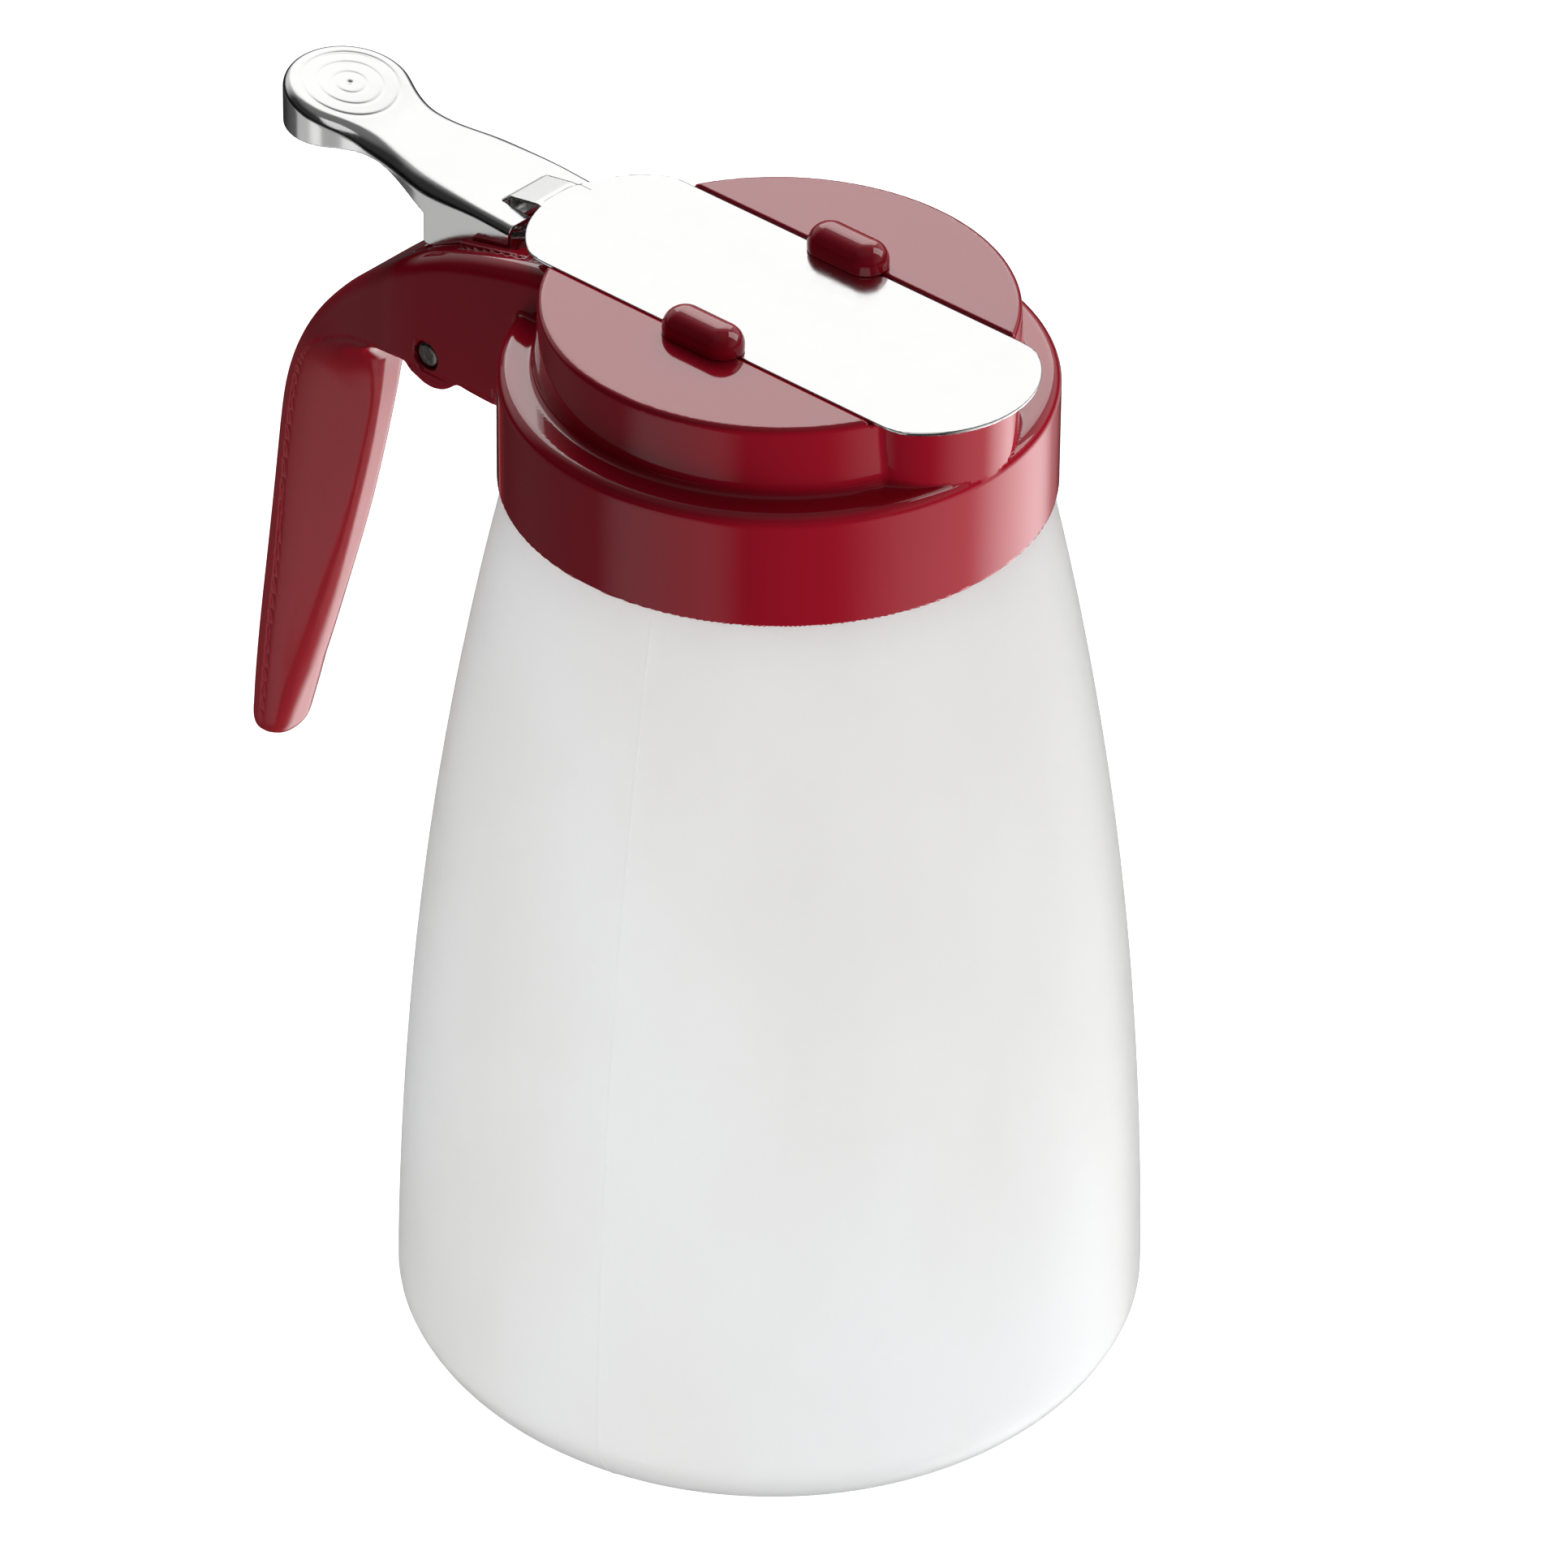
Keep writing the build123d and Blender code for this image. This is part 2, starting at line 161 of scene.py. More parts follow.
def polyline(x, y, pts):
    """Distance to an open line."""
    p = np.array(pts, float)
    d = np.full(len(x), 1e9)
    for a, b in zip(p[:-1], p[1:]):
        e = b - a
        wx, wy = x - a[0], y - a[1]
        t = np.clip((wx * e[0] + wy * e[1]) / (e @ e), 0, 1)
        d = np.minimum(d, (wx - t * e[0]) ** 2 + (wy - t * e[1]) ** 2)
    return np.sqrt(d)


def bend(pts, radius, n=8):
    """A line with its corners turned on a radius."""
    p = [np.array(q, float) for q in pts]
    out = [p[0]]
    for a, b, c in zip(p[:-2], p[1:-1], p[2:]):
        u, v = (a - b) / np.linalg.norm(a - b), (c - b) / np.linalg.norm(c - b)
        half = math.acos(np.clip(u @ v, -1, 1)) / 2
        cut = min(radius / math.tan(half), 0.49 * np.linalg.norm(a - b), 0.49 * np.linalg.norm(c - b))
        r = cut * math.tan(half)
        m = (u + v) / np.linalg.norm(u + v)
        centre = b + m * r / math.sin(half)
        s, e = b + u * cut - centre, b + v * cut - centre
        turn = math.acos(np.clip(s @ e / (r * r), -1, 1))
        for i in range(n + 1):
            k = i / n
            out.append(centre + (math.sin((1 - k) * turn) * s + math.sin(k * turn) * e) / math.sin(turn))
    out.append(p[-1])
    return np.array(out)


def new_object(name, co, faces, normals=None, sharp=None):
    """A mesh object from points in mm (heights above the collar bottom) and quads."""
    co = np.array(co, float)
    co = (co + (0, 0, Z0)) / 1000
    me = bpy.data.meshes.new(name)
    me.vertices.add(len(co))
    me.vertices.foreach_set("co", co.ravel().astype(np.float32))
    me.loops.add(faces.size)
    me.loops.foreach_set("vertex_index", faces.ravel().astype(np.int32))
    me.polygons.add(len(faces))
    me.polygons.foreach_set("loop_start", np.arange(0, faces.size, faces.shape[1], dtype=np.int32))
    me.polygons.foreach_set("use_smooth", np.ones(len(faces), bool))
    me.update(calc_edges=True)
    me.validate()
    if normals is not None:
        me.normals_split_custom_set_from_vertices(normals.tolist())
    if sharp is not None:
        bm = bmesh.new()
        bm.from_mesh(me)
        bmesh.ops.remove_doubles(bm, verts=bm.verts, dist=1e-7)
        bmesh.ops.recalc_face_normals(bm, faces=bm.faces)
        bm.to_mesh(me)
        bm.free()
        me.set_sharp_from_angle(angle=math.radians(sharp))
    ob = bpy.data.objects.new(name, me)
    bpy.context.scene.collection.objects.link(ob)
    return ob


def field_mesh(name, field, lo, hi, h):
    """Meshes the zero surface of a field: one vertex per crossed cell, moved onto the surface."""
    size = 8
    h = np.array(h, float) * COARSE * np.ones(3)
    lo, hi = np.array(lo, float), np.array(hi, float)
    n = np.ceil((hi - lo) / (h * size)).astype(int)
    axes = [lo[a] + (np.arange(n[a]) + 0.5) * h[a] * size for a in range(3)]
    grid = np.stack(np.meshgrid(*axes, indexing="ij"), -1).reshape(-1, 3)

    def run(p, chunk=60000):
        return np.concatenate([field(*p[i: i + chunk].T) for i in range(0, len(p), chunk)])

    near = np.abs(run(grid)) < np.linalg.norm(h) * size * 0.5 * 1.4
    blocks = np.argwhere(near.reshape(n))
    step = np.stack(np.meshgrid(*[np.arange(size + 1)] * 3, indexing="ij"), -1).reshape(-1, 3)
    s = np.empty((len(blocks), 9, 9, 9), np.float32)
    for c in range(0, len(blocks), 80):
        b = blocks[c: c + 80]
        p = lo + (b[:, None] * size + step[None]) * h
        s[c: c + 80] = field(*p.reshape(-1, 3).T).reshape(-1, 9, 9, 9)
    ins = s < 0
    corner = [(i, j, k) for i in (0, 1) for j in (0, 1) for k in (0, 1)]
    count = sum(ins[:, i: i + 8, j: j + 8, k: k + 8].astype(np.uint8) for i, j, k in corner)
    b, i, j, k = np.nonzero((count > 0) & (count < 8))
    wide = n * size
    stride = np.array([wide[1] * wide[2], wide[2], 1], np.int64)
    cell = blocks[b] * size + np.stack([i, j, k], 1)
    key = cell @ stride
    v = {c: s[b, i + c[0], j + c[1], k + c[2]].astype(float) for c in corner}
    total, hits = np.zeros((len(b), 3)), np.zeros(len(b))
    for c in corner:
        for a in range(3):
            if c[a] == 0:
                d = tuple(1 if q == a else c[q] for q in range(3))
                cross = (v[c] < 0) != (v[d] < 0)
                t = np.where(cross, v[c] / np.where(cross, v[c] - v[d], 1), 0)
                point = np.array(c, float)[None] + np.eye(3)[a][None] * t[:, None]
                total += point * cross[:, None]
                hits += cross
    co = lo + (cell + total / hits[:, None]) * h
    order = np.argsort(key)
    ranked = key[order]
    quads = []
    for a in range(3):
        p1, p2 = (a + 1) % 3, (a + 2) % 3
        upper = [slice(0, 8)] * 3
        upper[a] = slice(1, 9)
        first = ins[:, :8, :8, :8]
        change = first != ins[:, upper[0], upper[1], upper[2]]
        b, i, j, k = np.nonzero(change)
        base = (blocks[b] * size + np.stack([i, j, k], 1)) @ stride
        out = first[b, i, j, k]
        ring = [base - stride[p1] - stride[p2], base - stride[p2], base, base - stride[p1]]
        found = [np.minimum(np.searchsorted(ranked, r), len(ranked) - 1) for r in ring]
        good = np.all([ranked[f] == r for f, r in zip(found, ring)], axis=0)
        q = np.stack([order[f] for f in found], 1)[good]
        out = out[good]
        quads.append(np.where(out[:, None], q, q[:, ::-1]))
    quads = np.vstack(quads)

    def slope(p, e):
        g = np.empty_like(p)
        for a in range(3):
            d = np.zeros(3)
            d[a] = e
            g[:, a] = (run(p + d) - run(p - d)) / (2 * e)
        return g

    most = 0.7 * h.min()
    for _ in range(3):
        g = slope(co, 0.02)
        g2 = np.maximum((g * g).sum(1), 0.05)
        move = np.clip(run(co) / np.sqrt(g2), -most, most) / np.sqrt(g2)
        co = co - g * move[:, None]
    g = slope(co, 0.02)
    g /= np.maximum(np.linalg.norm(g, axis=1), 1e-9)[:, None]
    print(name, "quads", len(quads))
    return new_object(name, co, quads, normals=g)


def grid_faces(rows, cols, close_cols):
    r = np.arange(rows - 1)[:, None]
    c = np.arange(cols if close_cols else cols - 1)[None]
    d = (c + 1) % cols
    f = np.stack([r * cols + c + 0 * d, r * cols + d, (r + 1) * cols + d, (r + 1) * cols + c + 0 * d], -1)
    return f.reshape(-1, 4)


def tube(name, path, radius, sides=16):
    """A round wire along a line of points, with domed ends."""
    p = np.array(path, float)
    t = np.gradient(p, axis=0)
    t /= np.linalg.norm(t, axis=1)[:, None]
    side = np.cross(t[0], (0.3, 0.1, 0.9))
    frames = []
    for q in t:
        side = side - q * (side @ q)
        side /= np.linalg.norm(side)
        frames.append((side.copy(), np.cross(q, side)))
    rows = []
    for a in np.linspace(0, math.pi / 2, 5)[:-1]:
        rows.append((p[0] - t[0] * radius * math.cos(a) * 0.8, frames[0], radius * max(math.sin(a), 1e-6)))
    rows += [(q, f, radius) for q, f in zip(p, frames)]
    for a in np.linspace(math.pi / 2, 0, 5)[1:]:
        rows.append((p[-1] + t[-1] * radius * math.cos(a) * 0.8, frames[-1], radius * max(math.sin(a), 1e-6)))
    ang = np.arange(sides) / sides * TAU
    co = np.vstack([c + r * (np.cos(ang)[:, None] * f[0] + np.sin(ang)[:, None] * f[1]) for c, f, r in rows])
    return new_object(name, co, grid_faces(len(rows), sides, True), sharp=60)


# ------------------------------------------------------------- pouring top
outer = Curve([(-20.0, 30.6), (-30.0, 29.6), (-41.1, 27.9), (-49.0, 26.0), (-58.7, 22.9), (-66.0, 19.2),
               (-74.4, 12.7), (-80.4, 7.9), (-86.0, 3.2), (-91.5, -2.2), (-97.0, -8.9),
               (-101.0, -16.6), (-103.4, -25.0), (-105.2, -36.0), (-108.0, -55.6), (-112.3, -83.6),
               (-114.0, -95.0), (-115.3, -104.0)])
inner = Curve([(-30.0, 0.1), (-50.0, 0.1), (-66.3, 0.1), (-72.4, -1.7), (-78.0, -4.4), (-81.8, -8.0),
               (-83.5, -12.5), (-84.5, -18.5), (-86.9, -30.6), (-93.5, -55.6), (-102.5, -83.6),
               (-106.4, -95.0), (-109.3, -104.0)])
arch = Curve([(-60.0, 0.6), (-66.2, 0.1), (-69.2, -0.4), (-75.0, -2.3), (-81.2, -4.8), (-86.5, -7.2),
              (-91.6, -10.2), (-94.8, -12.5), (-97.0, -14.9), (-98.6, -18.2), (-99.7, -22.6),
              (-100.9, -29.0), (-102.0, -36.0), (-104.4, -55.6), (-108.7, -83.6), (-110.6, -95.0), (-112.2, -104.0)])
arm_width = table([-64, -70, -76, -82, -88, -94, -106, -120], [16.2, 15.35, 12.9, 10.3, 8.2, 7.0, 6.4, 6.2])
grip_width = table([0, -9, -18.5, -30.6, -55.6, -83.6, -95, -104], [7.9, 7.6, 7.3, 7.0, 6.6, 5.8, 5.1, 4.6])
grip_face = table([0, -9, -16, -40, -69, -84, -95, -104], [3.4, 3.2, 3.0, 2.8, 2.9, 2.9, 2.7, 2.4])
pitch = 5.08


def thread(x, y, z, start, turns, half=1.45, flat=0.7):
    """0 to 1 over a screw thread's section, wound upward from start."""
    a = np.mod(np.arctan2(y, x), TAU) / TAU
    k = np.clip(np.round((z - start) / pitch - a), 0, int(turns + 1))
    along = a + k
    ok = along <= turns
    d = np.abs(z - start - pitch * along)
    ridge = np.clip((half - d) / (half - flat), 0, 1)
    fade = smooth(0.0, 0.05, along) * smooth(turns, turns - 0.05, along)
    return ridge * fade * ok


def top_field(x, y, z):
    ay = np.abs(y)
    rho = np.hypot(x, y)
    wall = rho - (38.6 - 0.05 * (z - 20.2))
    cyl = runi(0.45, wall, np.hypot(x - 27.2, y) - 17.2)
    core = rint(0.4, cyl, z - 31.35)
    half = rint(0.3, rint(0.95, wall, z - 32.2), 17.0 - ay)
    drum = np.maximum(np.minimum(core, half), 10 - z)
    collar = rint(0.3, rint(2.1, rho - 44.5, z - 20.2), -z)
    f = runi(1.15 - 1.1 * smooth(40.6, 43.4, rho), collar, drum)
    m = x < -24
    if m.any():
        xm, zm, am = x[m], z[m], ay[m]
        fo, fi = -outer.dist(xm, zm), inner.dist(xm, zm)
        w = arm_width(xm)
        eye = np.hypot(xm + 60.9, zm - 3.4) - 6.2
        t = smooth(-7, -26, zm)
        wb = w * (1 - t) + grip_width(zm) * t
        under = arch.dist(xm, zm)
        wb = wb - 0.22 * smooth(-0.25, 0.25, under) - 0.16 * np.exp(-((under - 0.1) / 0.3) ** 2)
        wi = grip_face(zm)
        deep = np.maximum(under - 2.0 - fi, 4.5)
        q = np.clip((under - 2.0) / deep, -0.5, smooth(-70, -77, xm))
        side = rint(0.9, am - wb, (am - wb * (1 - q) - wi * q) / np.hypot(1, (wb - wi) / deep))
        arm = rint(3.2, fo, side)
        arm = rint(0.45 + 0.95 * smooth(-78, -88, xm) + 0.8 * smooth(-90, -98, xm), arm, runi(1.3, fi, eye))
        arm = rint(0.3, arm, -np.maximum(-46.3 - xm, zm - 2.8))
        low = np.maximum(-92.2 - zm, 0)
        tip = np.sqrt(((xm + 109.6 - 0.24 * (zm + 92.2)) / 5.6) ** 2 + (am / 6.2) ** 2 + (low / 6.2) ** 2) * 5.6 - 5.6
        tip = tip - 3.0 * smooth(-93, -78, zm) - 60.0 * smooth(-78, -70, zm)
        arm = np.maximum(rint(1.0, arm, tip), xm + 30)
        lip = np.interp(xm, [-57, -46.9, -41.1, -30], [24.7, 26.9, 28.1, 29.9])
        rim = rint(0.35, zm - lip, am - 12.4, -57.2 - xm)
        rim = np.maximum(np.maximum(rim, 20 - zm), np.maximum(xm + 30, 9 - am))
        arm = np.minimum(arm, rim)
        g = runi(0.9, f[m], arm)
        g = rint(0.4, g, -rint(1.0, np.abs(xm + 57.7) - 11.5, am - 10.7))
        g = rint(0.3, g, -(np.hypot(xm + 61.3, zm - 3.3) - 2.55))
        f = f.copy()
        f[m] = g
    bore = rho - (41.75 - 1.4 * thread(x, y, z, 0.46, 2.2))
    bore = np.minimum(bore, rho - np.minimum(42.3 - z, 42.6))
    void = np.minimum(rint(0.5, bore, z - 17.9), rint(1.3, rho - 36.4, z - 29.3))
    f = rint(0.25, f, -void)
    lean = (z - 18.5) * 0.3813
    mouth = rint(0.8, np.hypot(x - 23.7 - lean, y) - 12.4, 27.1 + lean - x)
    return rint(0.35, f, -np.maximum(mouth, 18.5 - z))


top = field_mesh("screw_top_shell", top_field, (-119, -47, -103), (47, 47, 35), 0.52)


# -------------------------------------------------------------------- studs
def stud_field(side):
    def f(x, y, z):
        s = np.hypot(np.maximum(np.abs(x + 0.8) - 3.75, 0), y - side * 17.0) - 3.75
        dome = rint(3.35, s, z - 36.6)
        return rint(0.3, dome, 32.2 - z)
    return f


stud_near = field_mesh("guide_stud_near_loaf", stud_field(-1), (-10, -22, 31), (8, -12, 38), 0.22)
stud_far = field_mesh("guide_stud_far_loaf", stud_field(1), (-10, 12, 31), (8, 22, 38), 0.22)

# -------------------------------------------------------------------- plate
hook_line = bend([(-44.5, 31.8), (-48.2, 31.8), (-54.1, 30.8), (-54.1, 25.5), (-50.9, 25.5), (-50.9, 28.6)], 0.7, 5)


def plate_field(x, y, z):
    rim = np.hypot(np.maximum(np.abs(x - 0.35) - 28.85, 0), y) - 19.0
    flat = rint(0.16, rint(1.2, rim, np.abs(y) - 16.6), np.abs(z - 31.8) - 0.3)
    m = (x < -40) & (np.abs(y) < 8)
    if m.any():
        line = polyline(x[m], z[m], hook_line) - 0.3
        hook = rint(0.14, line, np.abs(y[m]) - 4.4)
        flat = flat.copy()
        flat[m] = runi(0.25, flat[m], hook)
    return flat


plate = field_mesh("slide_plate_sheet", plate_field, (-56, -18, 24), (50, 18, 33), (0.42, 0.42, 0.16))

# -------------------------------------------------------------------- lever
neck = (-92.8 + 0.5 * 10.85, 0.866 * 10.85)
pad_arc = [(-92.8 + 10.85 * math.cos(a), 10.85 * math.sin(a)) for a in np.radians(np.arange(75, 216, 15))]
lever_side = Curve([(-40, 10.2), (-50, 10.2), (-58, 10.2), (-64, 10.2), (-69, 9.85), (-74.6, 8.7), (-80, 8.0),
                    (-84.2, 8.35), neck] + pad_arc, every=1.5)
lever_crown = Curve([(-106, 36.4), (-99, 35.4), (-92.8, 34.4), (-88, 33.3), (-83, 32.0), (-76, 31.0),
                     (-67, 30.6), (-57, 30.2), (-48.5, 29.7), (-44, 29.4)], every=1.5)
skirt = Curve([(-67.4, 24.8), (-71.2, 26.4), (-74.3, 27.4), (-77.3, 28.2), (-80.5, 28.6), (-85.6, 28.4),
               (-92.0, 27.9), (-106.0, 27.2)])
flange = [(-48.5, 42.0), (-48.5, 29.7), (-48.9, 23.8), (-49.3, 22.6)]
flange += [(-61.3 + 4.6 * math.cos(a), 3.3 + 4.6 * math.sin(a)) for a in np.radians(np.arange(20, -201, -20))]
flange += [(-65.3, 7.6), (-64.7, 11.3), (-60.5, 19.0), (-61.0, 19.9), (-66.9, 19.3), (-67.4, 19.9)]
flange += [tuple(q) for q in skirt.p[::40]] + [(-108.0, 27.1), (-108.0, 42.0)]


def lever_field(x, y, z):
    ay = np.abs(y)
    side = -lever_side.dist(x, ay)
    crown = lever_crown.dist(x, z)
    r = np.hypot((x + 92.8) / 0.985, y)
    for ring, depth in ((8.0, 0.11), (5.35, 0.09), (2.65, 0.085)):
        crown = crown + depth * np.exp(-((r - ring) / 0.34) ** 2) * (z > 30)
    crown = crown + 0.22 * np.exp(-(r / 0.5) ** 2) * (z > 30)
    turn = 1.7 + 1.1 * smooth(-54, -68, x) - 0.9 * smooth(-80, -89, x)
    shell = rint(turn, side, crown)
    cut = polygon(x, z, flange)
    shell = rint(0.22, shell, cut, -(shell + 0.9))
    window = rint(0.5, ay - 5.0, -55.0 - x)
    shell = rint(0.18, shell, -np.maximum(window, 26 - z))
    strap = np.abs(np.maximum(ay - 5.45, 25.45 - z)) - 0.45
    strap = rint(0.15, strap, np.abs(x + 49.4) - 0.6, z - 29.4)
    shell = np.minimum(shell, strap)
    return rint(0.15, shell, -(np.hypot(x + 61.3, z - 3.3) - 2.46))


lever = field_mesh("thumb_lever_pressing", lever_field, (-106, -13, -3), (-46, 13, 38), (0.2, 0.2, 0.3))

# ---------------------------------------------------------------------- jar
jar_low = Curve([(38.87, 0.0), (41.67, 0.4), (44.65, 1.0), (47.61, 2.0), (50.46, 3.2), (53.11, 4.7), (55.47, 6.4),
                 (57.48, 8.3), (59.10, 10.3), (60.27, 12.3), (61.16, 15.2)], t0=(1, 0.06), t1=(0, 1))
jar_high = Curve([(61.16, 15.2), (61.00, 24.8), (60.10, 46.7), (58.59, 68.6), (56.39, 90.5), (53.45, 112.4),
                  (49.74, 134.4), (46.50, 150.8), (42.97, 166.6)], t0=(0, 1), t1=(-0.225, 1))
in_high = Curve([(42.4, 161.6), (44.76, 150.8), (48.02, 134.4), (51.76, 112.4), (54.72, 90.5), (56.94, 68.6),
                 (58.46, 46.7), (59.38, 24.8), (59.5, 16.5)], t0=(0.225, -1), t1=(0, -1))
in_low = Curve([(59.5, 16.5), (58.2, 12.6), (55.4, 9.2), (50.6, 5.7), (44.2, 3.2), (37.4, 2.2)],
               t0=(0, -1), t1=(-1, -0.1))


def sampled(curve, gap):
    k = max(2, int(curve.length / gap))
    return curve.at(np.linspace(0, curve.length, k + 1))[0]


rows = [np.array([(0.0, 0.0)]), np.stack([np.linspace(2, 38, 13), np.zeros(13)], 1), sampled(jar_low, 1.2),
        sampled(jar_high, 2.4)[1:-1],
        np.array([(43.05, 166.2), (42.95, 166.72), (42.7, 166.95), (42.3, 167.0), (41.0, 167.0), (40.25, 167.02),
                  (40.05, 167.15), (40.0, 167.4)]),
        np.stack([np.full(50, 40.0), np.linspace(167.7, 182.5, 50)], 1),
        np.array([(40.0, 182.8), (39.9, 183.1), (39.7, 183.3), (39.4, 183.4), (38.7, 183.4), (38.5, 183.3),
                  (38.4, 183.1)]),
        np.stack([np.full(6, 38.4), np.linspace(182.0, 165.2, 6)], 1), sampled(in_high, 2.6), sampled(in_low, 1.8)[1:],
        np.stack([np.linspace(36, 2, 10), np.full(10, 2.2)], 1), np.array([(0.0, 2.2)])]
profile = np.vstack(rows)
outside = len(rows[0]) + len(rows[1]) + len(rows[2]) + len(rows[3]) + 4
seam = math.radians(-75.0)
extra = np.radians([-1.6, -1.2, -0.85, -0.6, -0.4, -0.25, -0.12, 0, 0.12, 0.25, 0.4, 0.6, 0.85, 1.2, 1.6])
ang = np.arange(216) / 216 * TAU
near_seam = [np.abs((ang - seam - q + math.pi) % TAU - math.pi) < math.radians(1.7) for q in (0, math.pi)]
ang = np.sort(np.mod(np.r_[ang[~near_seam[0] & ~near_seam[1]], seam + extra, seam + math.pi + extra], TAU))
pr, pz = profile[:, 0][:, None], profile[:, 1][:, None]
radius = pr + 0 * ang[None]
zz = pz + 0 * ang[None]
x0, y0 = np.cos(ang)[None] * radius, np.sin(ang)[None] * radius
neck_rows = (pr > 39.99) & (pr < 40.01) & (pz > 167.6)
radius = radius + np.where(neck_rows, 1.4 * thread(x0, y0, zz - Z0, 3.0, 2.1), 0)
off = np.minimum(*[np.abs((ang - seam - q + math.pi) % TAU - math.pi) for q in (0, math.pi)])[None] * 60
index = np.arange(len(profile))[:, None]
line = np.where((index > 14) & (index < outside), 0.11 * np.exp(-(off / 0.28) ** 2), 0)
radius = radius + line * smooth(0.0, 6.0, zz)
nub = np.where((index > 14) & (index < outside), np.exp(-(off / 0.75) ** 2) * np.exp(-((zz - 1.6) / 1.5) ** 2), 0)
radius = radius + 1.1 * nub
zz = zz - 0.0 * nub
co = np.stack([np.cos(ang)[None] * radius, np.sin(ang)[None] * radius, zz - Z0], -1).reshape(-1, 3)
jar = new_object("jar_bottle", co, grid_faces(len(profile), len(ang), True), sharp=38)

# ------------------------------------------------------------ sealing ring
ring_profile = bend([(39.7, 16.27), (38.22, 16.27), (38.22, 17.83), (41.18, 17.83), (41.18, 16.27), (39.7, 16.27)], 0.35, 4)
ang2 = np.arange(160) / 160 * TAU
co = np.stack([np.cos(ang2)[None] * ring_profile[:, :1], np.sin(ang2)[None] * ring_profile[:, :1],
               ring_profile[:, 1:] + 0 * ang2[None]], -1).reshape(-1, 3)
seal = new_object("sealing_ring_band", co, grid_faces(len(ring_profile), 160, True), sharp=50)

# ---------------------------------------------------------------------- pin
pin_profile = np.array([(0.0, -15.8), (0.35, -15.72), (0.6, -15.75), (1.55, -15.8), (1.9, -15.72), (2.2, -15.5),
                        (2.36, -15.2), (2.4, -14.9), (2.4, -11.0), (2.4, -5.0), (2.4, 0.0), (2.4, 5.0), (2.4, 11.0),
                        (2.4, 14.9), (2.36, 15.2), (2.2, 15.5), (1.9, 15.72), (1.55, 15.8), (0.6, 15.75),
                        (0.35, 15.72), (0.0, 15.8)])
ang3 = np.arange(64) / 64 * TAU
co = np.stack([-61.3 + np.cos(ang3)[None] * pin_profile[:, :1], pin_profile[:, 1:] + 0 * ang3[None],
               3.3 + np.sin(ang3)[None] * pin_profile[:, :1]], -1).reshape(-1, 3)
pin = new_object("pivot_pin_rod", co, grid_faces(len(pin_profile), 64, True), sharp=60)

# ------------------------------------------------------------------- spring
foot = bend([(-46.95, 28.0), (-53.2, 25.25), (-55.7, -0.05), (-61.3, -0.05)], 2.0, 8)
reach = bend([(-61.3, -0.05), (-65.9, -0.05), (-66.2, 29.0)], 2.0, 8)
turns = np.linspace(0, 3 * TAU, 97)
half = [(x, -7.4, z) for x, z in foot[:-1]]
half += [(-61.3 - 3.35 * math.sin(t), -7.4 + 3.9 * t / (3 * TAU), 3.3 - 3.35 * math.cos(t)) for t in turns]
half += [(x, -3.5, z) for x, z in reach[1:]]
half = np.array(half)
bar = bend([tuple(half[-2]), (-66.2, -3.5, 29.0), (-66.2, 0.0, 29.0)], 0.9, 6)
half = np.vstack([half[:-1], bar[1:]])
whole = np.vstack([half, half[::-1][1:] * (1, -1, 1)])
gaps = np.linalg.norm(np.diff(whole, axis=0), axis=1)
whole = whole[np.r_[True, gaps > 1e-4]]
u = np.r_[0, np.cumsum(np.linalg.norm(np.diff(whole, axis=0), axis=1))]
even = np.linspace(0, u[-1], int(u[-1] / 0.35))
whole = np.stack([np.interp(even, u, whole[:, a]) for a in range(3)], 1)
spring = tube("return_spring_wire", whole, 0.55, 14)


# ---------------------------------------------------------------- materials
def material(name):
    m = bpy.data.materials.new(name)
    m.use_nodes = True
    t = m.node_tree
    bsdf = next(n for n in t.nodes if n.type == "BSDF_PRINCIPLED")
    out = next(n for n in t.nodes if n.type == "OUTPUT_MATERIAL")
    return m, t, bsdf, out


def add(t, kind, **values):
    n = t.nodes.new(kind)
    for k, v in values.items():
        if k in n.inputs:
            n.inputs[k].default_value = v
        else:
            setattr(n, k, v)
    return n


def coords(t, scale=(1, 1, 1)):
    c = add(t, "ShaderNodeTexCoord")
    m = add(t, "ShaderNodeMapping")
    m.inputs["Scale"].default_value = scale
    t.links.new(c.outputs["Object"], m.inputs["Vector"])
    return m.outputs["Vector"]


def noise(t, vector, scale, detail=4.0, rough=0.5):
    n = add(t, "ShaderNodeTexNoise")
    n.inputs["Scale"].default_value = scale
    n.inputs["Detail"].default_value = detail
    n.inputs["Roughness"].default_value = rough
    t.links.new(vector, n.inputs["Vector"])
    return n.outputs["Fac"]


def spread(t, value, lo, hi, a=0.3, b=0.7):
    n = add(t, "ShaderNodeMapRange")
    n.inputs["From Min"].default_value = a
    n.inputs["From Max"].default_value = b
    n.inputs["To Min"].default_value = lo
    n.inputs["To Max"].default_value = hi
    t.links.new(value, n.inputs["Value"])
    return n.outputs["Result"]


def two_colours(t, value, a, b):
    n = add(t, "ShaderNodeMix", data_type="RGBA")
    n.inputs[6].default_value = (*a, 1)
    n.inputs[7].default_value = (*b, 1)
    t.links.new(value, n.inputs[0])
    return n.outputs[2]


def bump(t, height, strength, distance, normal=None):
    n = add(t, "ShaderNodeBump")
    n.inputs["Strength"].default_value = strength
    n.inputs["Distance"].default_value = distance
    t.links.new(height, n.inputs["Height"])
    if normal is not None:
        t.links.new(normal, n.inputs["Normal"])
    return n.outputs["Normal"]


